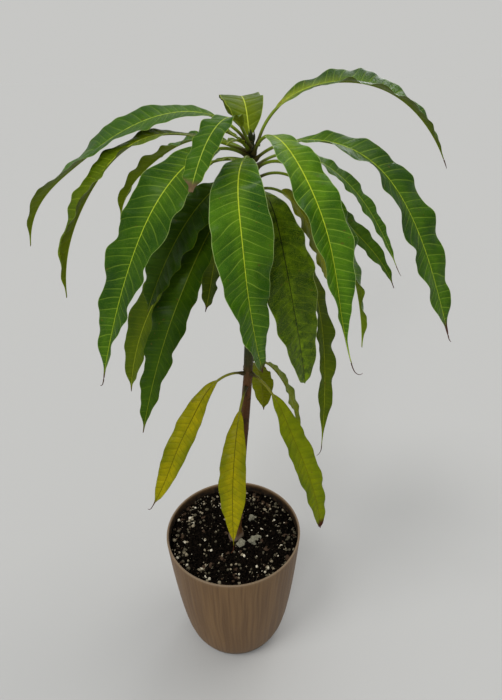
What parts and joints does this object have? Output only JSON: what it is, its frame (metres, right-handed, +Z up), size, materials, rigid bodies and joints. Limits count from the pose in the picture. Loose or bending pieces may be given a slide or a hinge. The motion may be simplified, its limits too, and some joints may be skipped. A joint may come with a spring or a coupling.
{
  "type": "potted mango tree sapling",
  "caption": "Young mango sapling in a tapering plastic pot: a thin leaning stem, a crown of long drooping wavy leaves, and a few pale old leaves low on the stem.",
  "frame": {"origin": "centre of the pot's flat underside", "axes": "+Z up along the pot's axis; -Y is the side the picture was taken from; +X is its right"},
  "size_m": [0.3195, 0.208, 0.5862],
  "materials": {
    "pot_plastic": "matte taupe with fine upright ribs",
    "potting_soil": "loose dark crumbs with white perlite",
    "young_bark": "smooth red-brown bark with leaf scars, green towards the tip",
    "mature_leaf": "glossy deep green with a yellow midrib",
    "old_leaf": "pale yellow-green with darker veins"
  },
  "bodies": {
    "root": {"leaf_back_high": "mature_leaf", "leaf_back_left": "mature_leaf", "leaf_back_middle": "mature_leaf", "leaf_front": "mature_leaf", "leaf_front_right_low": "mature_leaf", "leaf_hanging_back": "mature_leaf", "leaf_hanging_left": "mature_leaf", "leaf_hanging_left_back": "mature_leaf", "leaf_hanging_left_front": "mature_leaf", "leaf_hanging_right": "mature_leaf", "leaf_hanging_right_back": "mature_leaf", "leaf_left_back": "mature_leaf", "leaf_left_folded": "mature_leaf", "leaf_left_front": "mature_leaf", "leaf_left_high": "mature_leaf", "leaf_left_inner": "mature_leaf", "leaf_right_back_lower": "mature_leaf", "leaf_right_back_upper": "mature_leaf", "leaf_right_front": "mature_leaf", "leaf_right_high": "mature_leaf", "leaf_right_inner": "mature_leaf", "leaf_right_long": "mature_leaf", "leaf_young_broken": "mature_leaf", "old_leaf_back": "old_leaf", "old_leaf_front": "old_leaf", "old_leaf_left": "old_leaf", "old_leaf_right": "old_leaf", "old_leaf_right_back": "old_leaf", "pot": "pot_plastic", "soil": "potting_soil", "stem": "young_bark"}
  },
  "joints": []
}
